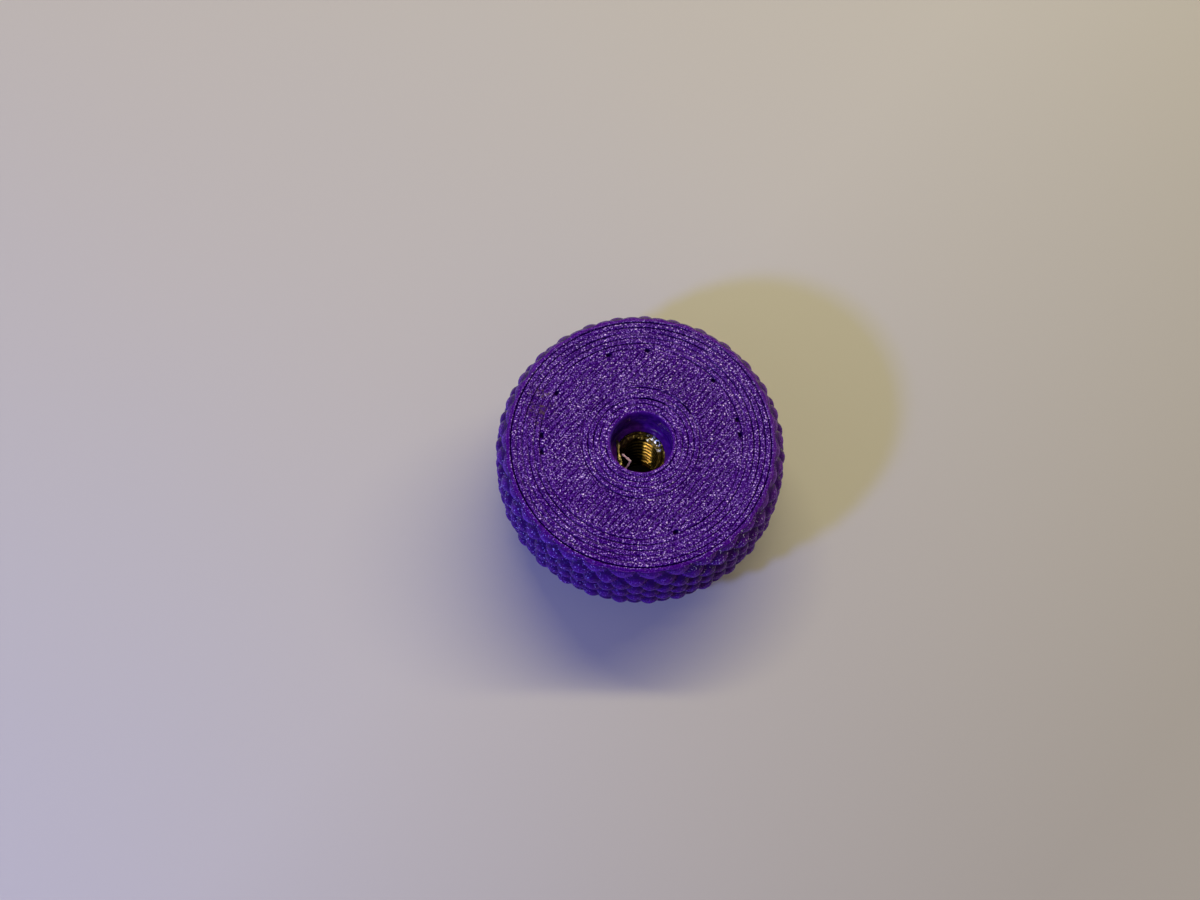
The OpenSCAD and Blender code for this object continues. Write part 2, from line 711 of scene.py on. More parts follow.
@dataclass(frozen=True)
class PaintedScaleShade:
    """Painted shade and painted highlight on the band: 1 is as dark as the painted shade of a gap, 0 is plain
    and -1 is the painted highlight of the pale rim.
    """

    # painted shade where each scale starts under the one above
    start: float = 1.25
    start_off: Range = (0.25, 0.75)
    # painted highlight along each scale's lower rim
    rim: float = -0.95
    rim_rise: float = 0.1
    rim_power: int = 4
    fade: float = 0.35
    # painted shade in the seams between layers; the beads a touch paler
    seam: float = 0.22
    bead: float = -0.05
    # painted shade on the cone under the face, on the edge bead and on the lip
    cone: float = 0.45
    cone_drop: float = 1.5 * MM
    edge: float = 0.35
    edge_drop: float = 0.2 * MM
    lip: float = 0.2

    def at(self, off: Array, above: Array, seam: Array) -> Array:
        """Gives the painted shade of places on the scales.

        Args:
            off: How far each place is from its scale's crest, 0 to 1.
            above: How far above the crest it is, -1 to 1.
            seam: Whether it is in the seam between two layers.

        Returns:
            The painted shade at each place; below 0 it is painted highlight.
        """
        low, high = self.start_off
        start = np.clip(above / self.fade, 0, 1) * np.clip((off - low) / (high - low), 0, 1)
        rim = np.clip(self.rim_rise - above / self.fade, 0, 1) * (1 - off**self.rim_power)
        return self.start * start + self.rim * rim + np.where(seam, self.seam, self.bead)


@dataclass(frozen=True)
class Melt:
    """How the heat of the insert softened the bore: its wall, the ledge's edge and the lip."""

    wall: Ripple = Ripple(0.05 * MM, seed=3, lumps=7)
    skin: Ripple = Ripple(0.03 * MM, seed=8, lumps=14)
    sag: Ripple = Ripple(0.05 * MM, seed=5, lumps=5)
    sag_radius: float = 0.98
    edge: Ripple = Ripple(0.10 * MM, seed=21, lumps=6)
    edge_most: float = 0.04 * MM
    edge_width: float = 0.6 * MM
    edge_right: Lobe = Lobe(0.52 * MM, -12, 45)
    edge_left: Lobe = Lobe(-0.28 * MM, 185, 35)
    lip_left: Lobe = Lobe(-0.18 * MM, 185, 55)
    lip_drop: float = 0.8 * MM
    lip_spread: float = 0.5 * MM
    lip_shift: float = 0.09 * MM
    shift_drop: float = 1.0 * MM

    def push(self, angle: Array, off_edge: Array, drop: Array, depth: float) -> Array:
        """Gives how far the bore's points move away from the axis.

        Args:
            angle: Angle of each point, in radians.
            off_edge: How far outside the ledge's edge each point is.
            drop: How far below the face it is.
            depth: Depth of the bore.

        Returns:
            The move of each point.
        """
        near_edge = np.clip(1 - off_edge / self.edge_width, 0, 1)
        edge = np.minimum(self.edge.at(angle), self.edge_most)
        edge = edge + self.edge_right.at(angle) + self.edge_left.at(angle)
        near_lip = np.exp(-(((drop - self.lip_drop) / self.lip_spread) ** 2))
        wall = self.wall.at(angle) * np.clip(drop / depth, 0, 1) + self.skin.at(angle)
        return wall + near_edge * edge + near_lip * self.lip_left.at(angle)


@dataclass
class Knob:
    """The printed knob: face, knurled band, boss and bore. Sizes are in metres."""

    crest_radius: float = field(default_factory=lambda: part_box("knob_body")[1].x)
    height: float = field(default_factory=lambda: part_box("knob_body")[1].z)
    insert_top: float = field(default_factory=lambda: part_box("threaded_insert")[1].z)
    insert_radius: float = field(default_factory=lambda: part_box("threaded_insert")[1].x)
    bore_radius: float = field(default_factory=lambda: mount("open_bore")["dims"]["r_mm"] * MM)
    steps_round: int = 360
    smooth_angle: float = 35
    # the boss and the pocket
    boss_radius: float = 12.0 * MM
    boss_height: float = 5.1 * MM
    boss_chamfer: float = 0.5 * MM
    chamfer_swell: float = 0.3
    pilot_radius: float = 3.9 * MM
    pilot_length: float = 1.6 * MM
    # the bore, with rounds as inset or outset and drop of each corner
    bore_depth: float = 4.75 * MM
    wall_rows: tuple[float, ...] = (0.15, 0.28, 0.41, 0.54, 0.67, 0.80)
    fillet: float = 0.45 * MM
    fillet_steps: int = 4
    ledge_radius: float = 3.5 * MM
    ledge_round: tuple[Range, ...] = ((0.20 * MM, 0.0), (0.05 * MM, 0.05 * MM), (0.0, 0.15 * MM))
    lip_round: tuple[Range, ...] = (
        (0.24 * MM, 0.0),
        (0.16 * MM, 0.02 * MM),
        (0.09 * MM, 0.08 * MM),
        (0.04 * MM, 0.20 * MM),
        (0.01 * MM, 0.42 * MM),
    )
    lip_width: float = 0.22 * MM
    lip_drop: float = 0.12 * MM
    bore_play: float = 0.3 * MM
    melt: Melt = Melt()
    # the band
    layers: int = 42
    diamonds: int = 30
    diamond_height: float = 3.175 * MM
    swell: float = 2.4
    roundness: float = 2.6
    first_crest: float = 0.53 * MM
    face_cone: float = 2.9 * MM
    foot_cone: float = 2.1 * MM
    taper: float = 0.7
    seam_depth: float = 0.045 * MM
    seam_share: float = 0.05
    layer_wobble: float = 0.010 * MM
    layer_turn: float = 2.4
    layer_waves: int = 5
    # painted shade and painted highlight of the band's scales
    painted_shade: PaintedScaleShade = PaintedScaleShade()
    # the face
    face_radius: float = 18.5 * MM
    face_drop: float = 0.9 * MM
    edge_bead: float = 0.5 * MM
    rim_round: tuple[Range, ...] = ((0.0, 0.14 * MM), (0.03 * MM, 0.06 * MM), (0.11 * MM, 0.01 * MM))
    rim_width: float = 0.22 * MM
    line: float = 0.8 * MM
    outer_rings: int = 6
    inner_rings: int = 5
    inner_margin: float = 0.6 * MM
    groove_half: float = 0.13 * MM
    groove_depth: float = 0.11 * MM
    groove_start: float = 0.9
    groove_range: Range = (0.35, 6)
    ring_height: float = 0.55
    ring_lumps: int = 9
    edge_deeper: float = 0.45
    gaps: tuple[tuple[float, Lobe], ...] = (
        (18.0 * MM, Lobe(1.1, 218, 42)),
        (6.55 * MM, Lobe(4.0, 77, 15, power=6)),
        (8.15 * MM, Lobe(3.0, 42, 6, power=4)),
    )
    # depths below the face between which the grooves fade into painted shade
    painted_groove_shade_drops: Range = (0.10 * MM, 0.005 * MM)
    infill_angle: float = math.radians(51.25)
    infill_outer: float = 13.45 * MM
    infill_inner: float = 8.6 * MM
    infill_margins: tuple[float, ...] = (0.30 * MM, 0.15 * MM, 0.0)
    infill_inset: float = 0.12 * MM
    infill_depth: float = 0.082 * MM
    cut_reach: float = 5 * MM
    pinholes: tuple[float, ...] = (44.6, 16.6, 7.2, 188.2, 178.0, 292.0, 88.2, 111.2, 150.2)
    pinhole_ring: float = 13.72 * MM
    pinhole_size: Range = (0.36 * MM, 0.26 * MM)
    pinhole_depth: float = 0.75 * MM
    pinhole_floor: float = 0.6
    rings: tuple[float, ...] = field(init=False)

    def __post_init__(self) -> None:
        """Works out where the printed rings of the face meet."""
        outer = [self.face_radius - self.edge_bead - self.line * k for k in range(self.outer_rings)]
        inner = [self.bore_radius + self.inner_margin + self.line * k for k in range(self.inner_rings)]
        self.rings = tuple(outer + inner[::-1])

    def face_section(self) -> Section:
        """Lists the face's corners from its outer edge in to the lip of the bore.

        Returns:
            Radius and height of each corner.
        """
        top, rim = self.height, self.face_radius
        groove = ((self.groove_half, 0.0), (0.0, self.groove_depth), (-self.groove_half, 0.0))
        corners = [(rim - inset, top - drop) for inset, drop in self.rim_round]
        for ring in self.rings:
            if ring == self.rings[self.outer_rings]:
                corners += [(radius, top) for radius in self.infill_rows()]
            corners.append((min(ring + self.line / 2, rim - self.edge_bead / 2), top))
            corners += [(ring + outset, top - drop) for outset, drop in groove]
        return corners + [(self.bore_radius + outset, top - drop) for outset, drop in self.lip_round]

    def infill_rows(self) -> list[float]:
        """Returns the radii of the plain rows on both sides of the straight infill lines."""
        outer = [self.infill_outer + margin for margin in self.infill_margins]
        return outer + [self.infill_inner, self.infill_inner - self.infill_inset]

    def bore_section(self) -> Section:
        """Lists the corners of the bore wall, its melted ledge and the pocket under it.

        Returns:
            Radius and height of each corner, from the face down.
        """
        wall, ledge = self.bore_radius, self.height - self.bore_depth
        pilot_foot = self.insert_top - self.pilot_length
        corners = [(wall, self.height - self.bore_depth * share) for share in self.wall_rows]
        for step in range(self.fillet_steps + 1):
            swing = step / self.fillet_steps * math.pi / 2
            inset, rise = self.fillet * (1 - math.cos(swing)), self.fillet * (1 - math.sin(swing))
            corners.append((wall - inset, ledge + rise))
        corners += [(self.ledge_radius + outset, ledge - drop) for outset, drop in self.ledge_round]
        return corners + [
            (self.ledge_radius, self.insert_top),
            (self.pilot_radius, self.insert_top),
            (self.pilot_radius, pilot_foot),
            (self.insert_radius, pilot_foot),
        ]

    def under_section(self) -> Section:
        """Lists the corners from the pocket's mouth round the boss to the foot of the band.

        Returns:
            Radius and height of each corner.
        """
        boss, swell = self.boss_radius, self.chamfer_swell * self.boss_chamfer
        return [
            (self.insert_radius, 0.0),
            (boss - self.boss_chamfer, 0.0),
            (boss - swell, swell),
            (boss, self.boss_chamfer),
            (boss, self.boss_height),
            (self.face_radius, self.boss_height),
        ]

    def band_section(self) -> Section:
        """Lists two corners for each printed layer of the band, all out at the crest radius."""
        row = (self.height - self.boss_height) / self.layers / 2
        return [(self.crest_radius, self.boss_height + k * row) for k in range(1, 2 * self.layers)]

    def layer_at(self, height: Array) -> tuple[Array, Array]:
        """Finds the printed layers of the band.

        Args:
            height: Height of each point.

        Returns:
            Each point's layer, and whether it is in the seam under that layer.
        """
        level = (height - self.boss_height) / (self.height - self.boss_height) * self.layers
        seam = np.abs(level - np.round(level)) < self.seam_share
        return np.where(seam, np.round(level), np.floor(level)), seam

    def place_on_scale(self, angle: Array, height: Array) -> tuple[Array, Array]:
        """Finds where points lie on the scales, which two families of slanting grooves part.

        Args:
            angle: Angle of each point, in radians.
            height: Height of each point.

        Returns:
            How far each point is from its scale's crest, 0 to 1, and how far above the crest, -1 to 1.
        """
        round_turns = angle / TURN * self.diamonds
        rise = (self.first_crest - (self.height - height)) / self.diamond_height
        first, second = (t - np.round(t) for t in (round_turns + rise, round_turns - rise))
        slants = np.abs(2 * first) ** self.roundness + np.abs(2 * second) ** self.roundness
        return (slants / 2) ** (1 / self.roundness), first - second

    def knurl(self, angle: Array, height: Array) -> Array:
        """Gives the radius of the knurl, whose scales rise from the face and from the foot.

        Args:
            angle: Angle of each point, in radians.
            height: Height of each point.

        Returns:
            The radius at each point.
        """
        up, down = height - self.boss_height, self.height - height
        taper = np.clip(np.minimum(up / self.foot_cone, down / self.face_cone), 0, 1) ** self.taper
        off = self.place_on_scale(angle, height)[0]
        return self.face_radius + (self.crest_radius - self.face_radius) * taper * (1 - off**self.swell)

    def press_knurl(self, piece: Piece) -> None:
        """Moves the band's points in to the knurl, with one rounded bead for each printed layer.

        Args:
            piece: The spun knob.
        """
        points = points_of(piece)
        radius, angle = round_axis(points)
        on_band = radius > self.crest_radius - LEAST
        angle, height = angle[on_band], points[on_band, 2]
        layer, seam = self.layer_at(height)
        wobble = self.layer_wobble * np.sin(layer * self.layer_turn + self.layer_waves * angle)
        new = self.knurl(angle, height) + wobble - np.where(seam, self.seam_depth, 0.0)
        new = np.minimum(new, self.crest_radius)
        points[on_band] = np.stack([new * np.cos(angle), new * np.sin(angle), height], axis=1)
        move_points(piece, points)

    def paint_band_shade_and_highlight(self, piece: Piece) -> None:
        """Keeps the painted shade and painted highlight of each point as an attribute of the mesh.

        Args:
            piece: The whole knob.
        """
        points = points_of(piece)
        radius, angle = round_axis(points)
        drop = self.height - points[:, 2]
        off, above = self.place_on_scale(angle, points[:, 2])
        painted_shade = self.painted_shade.at(off, above, self.layer_at(points[:, 2])[1])
        # painted shade on the cone under the face, on the edge bead and on the lip
        painted_shade = painted_shade + self.painted_shade.cone * np.clip(1 - drop / self.painted_shade.cone_drop, 0, 1)
        painted_shade = np.where(drop < self.painted_shade.edge_drop, self.painted_shade.edge, painted_shade)
        painted_shade = np.where(radius < self.infill_inner, self.painted_shade.lip, painted_shade)
        layer = piece.data.attributes.new(name=PAINTED_SHADE_LAYER, type="FLOAT", domain="POINT")
        layer.data.foreach_set("value", painted_shade)

    def score_infill(self, piece: Piece) -> None:
        """Scores the straight infill lines into the face.

        Args:
            piece: The face, with its infill zone in wide sectors.
        """
        across = Vector((-math.sin(self.infill_angle), math.cos(self.infill_angle), 0))
        reach = int(self.infill_outer / self.line)
        low, high = self.infill_inner, self.infill_outer
        pick(piece)
        bpy.context.tool_settings.mesh_select_mode = (False, False, True)
        bpy.ops.object.mode_set(mode="EDIT")
        bpy.ops.mesh.select_all(action="DESELECT")
        bpy.ops.object.mode_set(mode="OBJECT")
        for line in range(-reach, reach + 1):
            for offset in (-self.groove_half, 0.0, self.groove_half):
                place = line * self.line + offset
                flat = np.empty(len(piece.data.polygons) * 3)
                piece.data.polygons.foreach_get("center", flat)
                centre = flat.reshape(-1, 3)
                radius = round_axis(centre)[0]
                near = np.abs(centre @ np.array(across) - place) < self.cut_reach
                piece.data.polygons.foreach_set("select", (radius > low) & (radius < high) & near)
                bpy.ops.object.mode_set(mode="EDIT")
                bpy.ops.mesh.bisect(plane_co=across * place, plane_no=across, threshold=WELD)
                bpy.ops.object.mode_set(mode="OBJECT")
        bpy.context.tool_settings.mesh_select_mode = (True, False, False)
        points = points_of(piece)
        radius = round_axis(points)[0]
        off_line = points @ np.array(across)
        off_line = np.abs(off_line - np.round(off_line / self.line) * self.line)
        inside = (radius > low - WELD) & (radius < high + WELD)
        points[(off_line < WELD) & inside, 2] -= self.infill_depth
        move_points(piece, points)

    def wear_face(self, piece: Piece) -> None:
        """Deepens the gaps that the print left between its lines, and opens the pinholes.

        The wobble of each ring is drawn from its own seed, its radius in tenths of a millimetre.

        Args:
            piece: The scored face.
        """
        points = points_of(piece)
        radius, angle = round_axis(points)
        in_groove = points[:, 2] < self.height - self.groove_depth / 2
        for ring in self.rings:
            wobble = Ripple(self.ring_height, seed=int(ring / MM * 10), lumps=self.ring_lumps)
            depth = self.groove_start + wobble.at(angle)
            if ring == self.rings[0]:
                depth = depth + self.edge_deeper
            for place, gap in self.gaps:
                if abs(ring - place) < LEAST:
                    depth = depth + gap.at(angle)
            on_ring = in_groove & (np.abs(radius - ring) < LEAST)
            points[on_ring, 2] = self.height - self.groove_depth * np.clip(depth, *self.groove_range)[on_ring]
        length, width = self.pinhole_size
        for pinhole in self.pinholes:
            along = np.radians(degrees_from(angle, pinhole)) * radius
            dent = 1 - np.hypot(along / length, (radius - self.pinhole_ring) / width) ** 2
            points[:, 2] -= self.pinhole_depth * np.clip(dent, 0, self.pinhole_floor)
        move_points(piece, points)

    def melt_bore(self, piece: Piece) -> None:
        """Gives the bore's wall, ledge and lip the soft unevenness of melted plastic.

        Args:
            piece: The whole knob.
        """
        points = points_of(piece)
        radius, angle = round_axis(points)
        drop = self.height - points[:, 2]
        inside = (radius < self.bore_radius + self.bore_play) & (points[:, 2] > self.insert_top + LEAST)
        push = self.melt.push(angle, radius - self.ledge_radius, drop, self.bore_depth)
        shift = self.melt.lip_shift * np.clip(1 - drop / self.melt.shift_drop, 0, 1)
        sag = np.where(radius < self.melt.sag_radius * self.bore_radius, self.melt.sag.at(angle), 0)
        move = np.stack([push * np.cos(angle), push * np.sin(angle) + shift, sag], axis=1)
        move_points(piece, points + np.where(inside[:, None], move, 0))

    def finishes(self) -> tuple[PrintedPlastic, ...]:
        """Sets out the finish of each side of the print.

        Returns:
            The finishes, in the order of Side.
        """
        face = PrintedPlastic(
            "knob_face",
            GRIT_SHADES_WITH_PAINTED_GLINTS,
            grain_detail=1.5,
            grain_depth=0.02 * MM,
            roughness=0.25,
            gloss=0.05,
            painted_groove_shade_heights=(self.height - self.painted_groove_shade_drops[0], self.height - self.painted_groove_shade_drops[1]),
            smudge=Smudge(),
        )
        band = PrintedPlastic(
            "knob_band",
            grain=0.26 * MM,
            grain_depth=0.13 * MM,
            roughness=0.10,
            gloss=0.22,
            # painted shade between the scales
            gap=(0.022, 0.000, 0.088),
            sheen_tint=(0.70, 0.45, 1.0),
            painted_shade_layer=PAINTED_SHADE_LAYER,
            # painted glints: bluish flecks where the small lamp would catch the band, whitish ones where the
            # tube lamp would
            painted_glints=(
                PaintedGlints((0.42, 0.34, 1.00), side=222, spread=(0.76, 0.97), heights=(5 * MM, 8 * MM)),
                PaintedGlints((0.62, 0.52, 0.78), side=312, spread=(0.92, 0.98), heights=(14 * MM, 15 * MM)),
            ),
        )
        # painted light: an even bluish glow on the left of the bore wall
        painted_wall_light = PaintedGlints(
            (0.060, 0.016, 0.350), side=190, spread=(0.3, 0.9), heights=(13.2 * MM, 15.0 * MM), grit=EVEN
        )
        bore = PrintedPlastic(
            "knob_bore", BORE_SHADES, grain=0.8 * MM, roughness=0.14, gloss=0.14, painted_glints=(painted_wall_light,)
        )
        return face, band, bore, PrintedPlastic("knob_under", layer=0.3 * MM, grain_depth=0.008 * MM)

    def side_at(self, centre: Vector) -> Side:
        """Tells which side of the print a face of the mesh belongs to.

        Args:
            centre: The middle of the face.

        Returns:
            The side.
        """
        radius, drop = math.hypot(centre.x, centre.y), self.height - centre.z
        lip = self.bore_radius + self.lip_width
        if drop < self.face_drop and lip < radius < self.rings[0] + self.rim_width:
            return Side.FACE
        if drop < self.lip_drop and radius < lip:
            return Side.BAND
        if radius < self.bore_radius + self.bore_play:
            return Side.BORE
        if radius > self.rings[0] and centre.z > self.boss_height + LEAST:
            return Side.BAND
        return Side.UNDER

    def build(self) -> Piece:
        """Models the knob.

        Returns:
            The finished knob.
        """
        outline = self.face_section()
        face = spin_section("knob_face_part", outline, self.steps_round, closed=False)
        self.score_infill(face)
        self.wear_face(face)
        rest = [*self.band_section()[::-1], *self.under_section()[::-1], *self.bore_section()[::-1]]
        rest = [outline[0], *rest, outline[-1]]
        knob = spin_section("printed_knob", rest, self.steps_round, closed=False)
        self.press_knurl(knob)
        pick(face, knob)
        bpy.ops.object.join()
        face_outwards(knob, merge=WELD)
        self.melt_bore(knob)
        self.paint_band_shade_and_highlight(knob)
        for finish in self.finishes():
            knob.data.materials.append(finish.build())
        for polygon in knob.data.polygons:
            polygon.material_index = self.side_at(polygon.center).value
        smooth(knob, self.smooth_angle)
        return knob


# --------------------------------------------------------------------------- the insert


@dataclass
class ThreadedInsert:
    """The brass insert, with its right-hand thread as real turns. Sizes are in metres."""

    length: float = field(default_factory=lambda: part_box("threaded_insert")[1].z)
    radius: float = field(default_factory=lambda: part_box("threaded_insert")[1].x)
    minor: float = field(default_factory=lambda: mount("stud_thread")["dims"]["r_mm"] * MM)
    major: float = 3.175 * MM
    pitch: float = 1.27 * MM
    mouth: float = 3.3 * MM
    pilot_radius: float = 3.9 * MM
    pilot_length: float = 1.6 * MM
    groove_radius: float = 4.1 * MM
    groove_width: float = 1.5 * MM
    crest_flat: float = 0.40
    root_flat: float = 1 / 8
    flank_rows: int = 3
    bevel: float = 0.12 * MM
    mouth_play: float = 0.02 * MM
    steps_round: int = 144
    smooth_angle: float = 32

    def outside(self) -> Section:
        """Lists the corners of the insert's outside, from its foot up.

        Returns:
            Radius and height of each corner.
        """
        bevel, mouth = self.bevel, self.mouth + self.mouth_play
        shoulder = self.length - self.pilot_length
        groove_low = (shoulder - self.groove_width) / 2
        groove_high = groove_low + self.groove_width
        return [
            (mouth, 0.0),
            (self.radius - bevel, 0.0),
            (self.radius, bevel),
            (self.radius, groove_low - bevel),
            (self.groove_radius, groove_low),
            (self.groove_radius, groove_high),
            (self.radius, groove_high + bevel),
            (self.radius, shoulder),
            (self.pilot_radius, shoulder),
            (self.pilot_radius, self.length - bevel),
            (self.pilot_radius - bevel, self.length),
            (mouth, self.length),
        ]

    def thread_rows(self) -> Section:
        """Lists the rows of the thread where they leave the +X side, from one turn over the top down.

        Returns:
            Radius and height of each row, before the rows climb along the helix.
        """
        start = self.crest_flat / 2
        width = (1 - self.crest_flat - self.root_flat) / 2
        shares = [row / self.flank_rows for row in range(self.flank_rows + 1)]
        fall = [(start + width * t, self.minor + (self.major - self.minor) * t) for t in shares]
        turn = [(0.0, self.minor)] + fall + [(1 - place, radius) for place, radius in fall[::-1]]
        turns = math.ceil(self.length / self.pitch) + 1
        rows = [(k + place, radius) for k in range(turns) for place, radius in turn]
        return [(radius, self.length - place * self.pitch) for place, radius in rows + [(turns, self.minor)]]

    def cut_thread(self, piece: Piece, rows: Section, corners: int) -> None:
        """Raises the bore's rows along the helix, one pitch in a turn, and countersinks both ends.

        Args:
            piece: The spun insert, with its first and last copies of the section still apart.
            rows: The rows of the thread, as thread_rows gives them.
            corners: Number of corners in the whole section.
        """
        points = points_of(piece)
        copy, corner = np.divmod(np.arange(len(points)), corners)
        bore = corner >= corners - len(rows)
        row = corner[bore] - (corners - len(rows))
        radius, height = np.array(rows)[row].T
        share = 1 - copy[bore] / self.steps_round
        height = np.clip(height + share * self.pitch, 0, self.length)
        radius = np.maximum(radius, self.mouth - np.minimum(height, self.length - height))
        angle = share * TURN
        points[bore] = np.stack([radius * np.cos(angle), radius * np.sin(angle), height], axis=1)
        move_points(piece, points)

    def build(self) -> Piece:
        """Models the insert.

        Returns:
            The finished insert.
        """
        rows = self.thread_rows()
        section = self.outside() + rows
        insert = spin_section("brass_insert", section, self.steps_round, closed=True, merge=False)
        self.cut_thread(insert, rows, len(section))
        face_outwards(insert, merge=WELD)
        insert.data.materials.append(TurnedBrass("insert_brass").build())
        smooth(insert, self.smooth_angle)
        return insert


# --------------------------------------------------------------------------- what was left in the bore


@dataclass(frozen=True)
class Ribbon:
    """A thin torn strip that lies over the ledge. Its path is from the middle of the face, in millimetres."""

    name: str
    path: tuple[Triple, ...]
    widths: tuple[float, ...]
    thickness: float = 0.09 * MM
    crown: float = 0.05 * MM
    wobble: float = 0.25
    waves: float = 5.0
    steps: int = 6
    smooth_angle: float = 40

    def build(self, top: float, material: bpy.types.Material) -> Piece:
        """Models the strip.

        Args:
            top: Height of the knob's face, in metres.
            material: The strip's finish.

        Returns:
            The finished strip.
        """
        places = np.linspace(0, len(self.path) - 1, (len(self.path) - 1) * self.steps + 1)
        knots = np.arange(len(self.path))
        line = np.stack([np.interp(places, knots, axis) for axis in np.array(self.path).T], axis=1) * MM
        half = np.interp(places, knots, self.widths) * MM / 2
        half = half * (1 + self.wobble * np.sin(places * self.waves))
        along = np.gradient(line, axis=0)
        across = np.cross(along, (0.0, 0.0, 1.0))
        across /= np.linalg.norm(across, axis=1, keepdims=True)
        line[:, 2] += top
        clear_selection()
        bpy.ops.mesh.primitive_grid_add(x_subdivisions=len(places) - 1, y_subdivisions=2, size=1.0)
        strip = bpy.context.object
        strip.name = strip.data.name = self.name
        points = points_of(strip)
        step = np.round((points[:, 0] + 0.5) * (len(places) - 1)).astype(int)
        side = points[:, 1:2] * 2
        crown = self.crown * (1 - side**2) * np.array((0.0, 0.0, 1.0))
        move_points(strip, line[step] + across[step] * half[step][:, None] * side + crown)
        shell = strip.modifiers.new("thickness", "SOLIDIFY")
        shell.thickness, shell.offset = self.thickness, 0.0
        bpy.ops.object.modifier_apply(modifier=shell.name)
        face_outwards(strip)
        strip.data.materials.append(material)
        smooth(strip, self.smooth_angle)
        return strip


@dataclass(frozen=True)
class Leavings:
    """The curl of pale plastic and the torn brass flash that were left at the ledge."""

    curl: Ribbon = Ribbon(
        "plastic_curl",
        (
            (-2.50, -0.42, -3.98),
            (-1.95, -0.92, -3.78),
            (-1.42, -1.40, -3.60),
            (-1.36, -1.54, -3.62),
            (-1.56, -1.90, -3.95),
            (-1.83, -2.27, -4.32),
            (-2.28, -2.78, -4.80),
        ),
        (0.20, 0.28, 0.26, 0.29, 0.23, 0.22, 0.26),
    )
    flash: Ribbon = Ribbon(
        "brass_flash",
        (
            (-3.40, 2.00, -4.78),
            (-3.16, 1.50, -4.66),
            (-3.10, 0.80, -4.60),
            (-3.04, 0.10, -4.60),
            (-2.90, -0.60, -4.62),
            (-2.62, -1.30, -4.66),
            (-2.75, -2.00, -4.80),
        ),
        (0.20, 0.42, 0.34, 0.18, 0.30, 0.24, 0.20),
    )
    pale: PrintedPlastic = PrintedPlastic(
        "pale_plastic",
        ((0.34, (0.27, 0.15, 0.25)), (0.66, (0.42, 0.27, 0.38))),
        grain=0.3 * MM,
        roughness=0.35,
        gloss=0.3,
    )
    brass: TurnedBrass = TurnedBrass(
        "torn_brass", dull=(0.52, 0.42, 0.19), tarnish=(0.30, 0.23, 0.09), roughness=0.30
    )

    def build(self, top: float) -> tuple[Piece, Piece]:
        """Models both strips.

        Args:
            top: Height of the knob's face, in metres.

        Returns:
            The curl and the flash.
        """
        return self.curl.build(top, self.pale.build()), self.flash.build(top, self.brass.build())


# --------------------------------------------------------------------------- the studio


@dataclass(frozen=True)
class Lamp:
    """A soft lamp over the floor, or a narrow one if it has a cone. Distances are in metres."""

    name: str
    place: Triple
    aim: Triple
    power: float
    colour: Colour = (1.0, 1.0, 1.0)
    size: Range = (0.0, 0.0)
    cone: float = 0.0
    cone_blend: float = 0.5
    bulb: float = 4 * MM

    def build(self) -> None:
        """Adds the lamp, turned to its aim, with its length level."""
        clear_selection()
        bpy.ops.object.light_add(type="SPOT" if self.cone else "AREA", location=self.place)
        lamp = bpy.context.object
        lamp.name = lamp.data.name = self.name
        lamp.rotation_mode = "QUATERNION"
        lamp.rotation_quaternion = (Vector(self.place) - Vector(self.aim)).to_track_quat("Z", "Y")
        lamp.data.energy = self.power
        lamp.data.color = self.colour
        if self.cone:
            lamp.data.spot_size, lamp.data.spot_blend = self.cone, self.cone_blend
            lamp.data.shadow_soft_size = self.bulb
        else:
            lamp.data.shape = "RECTANGLE"
            lamp.data.size, lamp.data.size_y = self.size


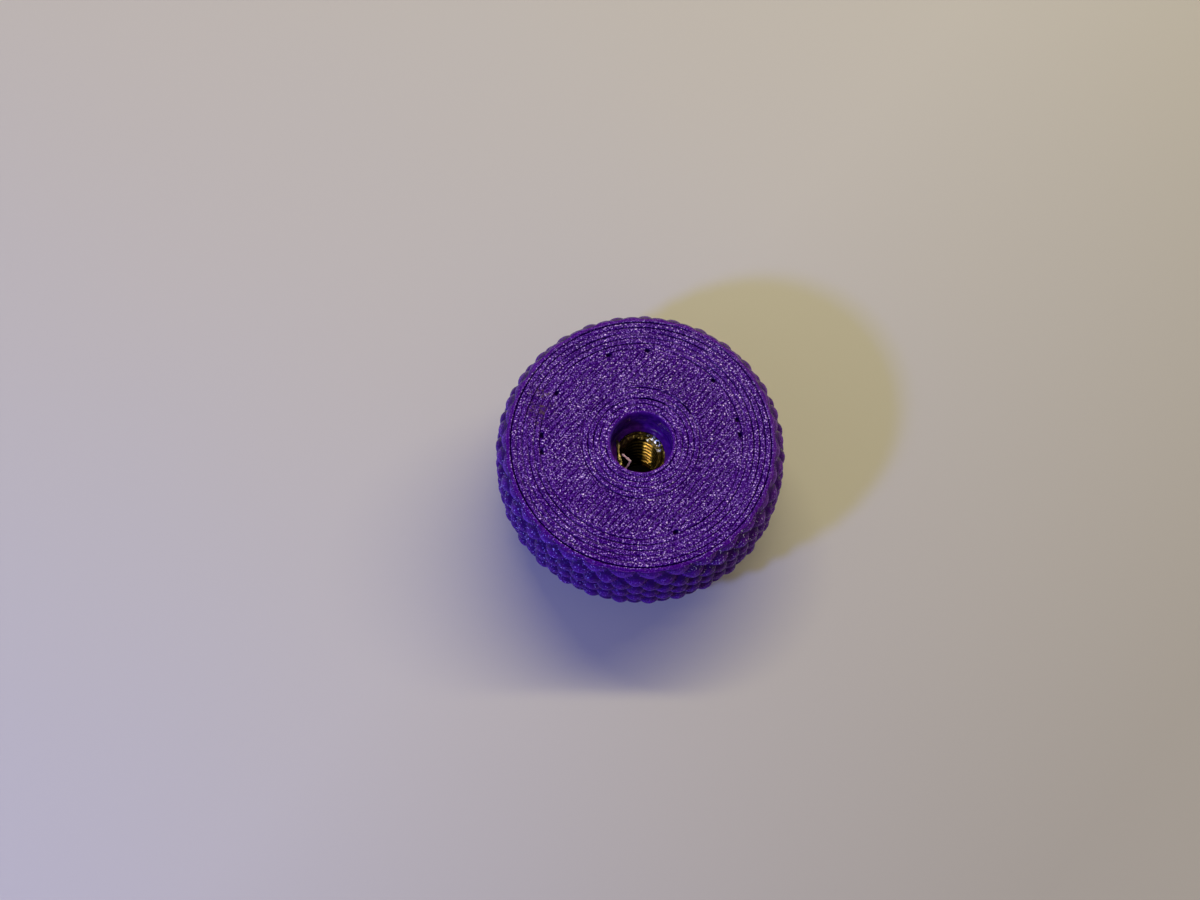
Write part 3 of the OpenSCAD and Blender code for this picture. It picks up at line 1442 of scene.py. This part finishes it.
@dataclass
class Studio:
    """Floor, lamps, world and camera. Distances are in metres."""

    eye: Vector = field(default_factory=lambda: Vector((-4.71, -104.55, 304.14)) * MM)
    right: Vector = field(default_factory=lambda: Vector((0.99917, 0.03926, 0.0110)))
    up: Vector = field(default_factory=lambda: Vector((-0.0406, 0.9400, 0.3389)))
    lens: float = 66.3
    sensor: float = 36.0
    sight: Range = (0.01, 20.0)
    floor_size: float = 6.0
    floor_cuts: int = 4
    floor_cloud: float = 90 * MM
    floor_colour: Colour = (0.46, 0.435, 0.44)
    floor_warmth: Colour = (1.04, 1.01, 0.94)
    floor_roughness: float = 0.85
    floor_gloss: float = 0.15
    # painted falloff of the lamps' light, darker and warmer towards one side
    floor_painted_falloff: Colour = (0.80, 0.775, 0.71)
    painted_falloff_towards: Triple = (0.8, -0.6, 0.0)
    painted_falloff_reach: Range = (-10 * MM, 80 * MM)
    lamps: tuple[Lamp, ...] = (
        Lamp("tube_lamp", (0.322, 0.491, 0.70), (0.340, 0.013, 0.0), 9.1, (1.0, 0.94, 0.53), (1.36, 0.06)),
        Lamp("small_lamp", (-0.246, -0.182, 0.25), (0.0, 0.0, 0.0), 1.07, (0.19, 0.275, 1.0), (0.035, 0.035)),
    )
    bore_lamp_place: Triple = (-0.113, -0.144, 0.429)
    bore_lamp_power: float = 4.2
    bore_lamp_cone: float = math.radians(1.0)
    room_colour: Colour = (0.33, 0.30, 0.285)
    ceiling_colour: Colour = (0.05, 0.045, 0.045)
    overhead: Range = (0.78, 0.92)

    def build(self) -> None:
        """Sets up the studio. A narrow lamp lights the far wall of the bore and the turns of thread."""
        self.add_floor()
        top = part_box("knob_body")[1].z
        into_bore = Lamp(
            "bore_lamp", self.bore_lamp_place, (0.0, 0.0, top), self.bore_lamp_power, cone=self.bore_lamp_cone
        )
        for lamp in (*self.lamps, into_bore):
            lamp.build()
        self.add_world()
        self.add_camera()

    def add_floor(self) -> None:
        """Lays a wide pale floor under the nut, with the lamps' falloff painted across it."""
        clear_selection()
        bpy.ops.mesh.primitive_plane_add(size=self.floor_size)
        floor = bpy.context.object
        floor.name = floor.data.name = "floor"
        bpy.ops.object.mode_set(mode="EDIT")
        bpy.ops.mesh.subdivide(number_cuts=self.floor_cuts)
        bpy.ops.object.mode_set(mode="OBJECT")
        sheet = Sheet("floor_paper")
        warm, painted_falloff_colour = (
            tuple(c * f for c, f in zip(self.floor_colour, change))
            for change in (self.floor_warmth, self.floor_painted_falloff)
        )
        colour = sheet.mix(sheet.noise(self.floor_cloud), self.floor_colour, warm)
        # painted falloff of the lamps' light across the floor
        fade = sheet.band(sheet.along(self.painted_falloff_towards), *self.painted_falloff_reach)
        colour = sheet.mix(fade, colour, painted_falloff_colour)
        sheet.join(colour, sheet.shader.inputs["Base Color"])
        sheet.set(Roughness=self.floor_roughness, Specular_IOR_Level=self.floor_gloss)
        floor.data.materials.append(sheet.made)

    def add_world(self) -> None:
        """Fills the room with a little even light, dimmer straight overhead."""
        sheet = Sheet("room", shader="Background", coordinates="Generated")
        overhead = sheet.band(sheet.height_and_radius()[0], *self.overhead)
        colour = sheet.mix(overhead, self.room_colour, self.ceiling_colour)
        sheet.join(colour, sheet.shader.inputs["Color"])
        bpy.context.scene.world = sheet.made

    def add_camera(self) -> None:
        """Puts the camera steeply over the near side of the nut."""
        clear_selection()
        bpy.ops.object.camera_add()
        camera = bpy.context.object
        camera.name = camera.data.name = "camera"
        back = self.right.cross(self.up).normalized()
        up = back.cross(self.right).normalized()
        turn = Matrix((self.right.normalized(), up, back)).transposed()
        camera.matrix_world = Matrix.LocRotScale(self.eye, turn, None)
        camera.data.lens = self.lens
        camera.data.sensor_width = self.sensor
        camera.data.clip_start, camera.data.clip_end = self.sight
        bpy.context.scene.camera = camera


# --------------------------------------------------------------------------- the whole


def main() -> None:
    """Builds the nut in its studio."""
    logging.basicConfig(level=logging.INFO, format="%(name)s: %(message)s")
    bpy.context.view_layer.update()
    Studio().build()

    knob = Knob().build()
    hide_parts("knob_body")
    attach(knob, "root")
    log.info("printed knob: %d faces", len(knob.data.polygons))

    insert = ThreadedInsert().build()
    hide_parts("threaded_insert")
    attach(insert, "root")
    log.info("brass insert: %d faces", len(insert.data.polygons))

    curl, flash = Leavings().build(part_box("knob_body")[1].z)
    for strip, slot in ((curl, "knob_plastic"), (flash, "insert_brass")):
        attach(strip, "root")
        log.info("%s: %d faces", strip.name, len(strip.data.polygons))

    bpy.context.scene.view_settings.view_transform = "Standard"


if __name__ == "__main__":
    main()
